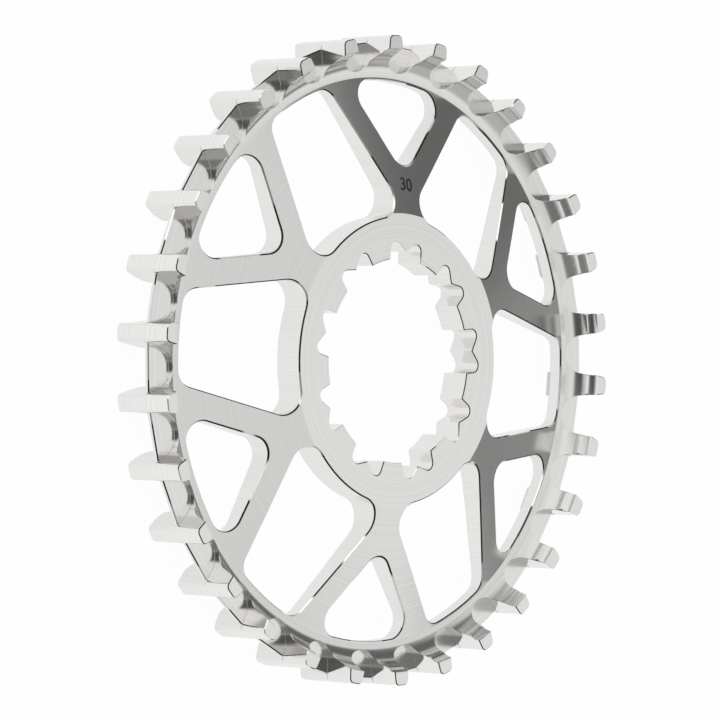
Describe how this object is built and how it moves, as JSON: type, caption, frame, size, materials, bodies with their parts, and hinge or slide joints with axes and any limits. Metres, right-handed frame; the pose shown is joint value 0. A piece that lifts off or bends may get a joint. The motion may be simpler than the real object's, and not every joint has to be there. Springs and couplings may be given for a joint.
{
  "type": "belt drive sprocket",
  "caption": "Steel bicycle belt sprocket with crosswise belt teeth on a thin guide fin, a dished web of forked arms and a splined bore.",
  "frame": {"origin": "on the axis, in the plane of the teeth's rear ends, on which the sprocket lies", "axes": "+Z along the axis toward the front face; +X through the middle of a tooth; +Y through the middle of a forked arm"},
  "size_m": [0.1034, 0.103, 0.011],
  "materials": {
    "steel": "machined stainless steel, turned faces and bright milled tooth gaps"
  },
  "bodies": {
    "root": {"sprocket": "steel"}
  },
  "joints": []
}
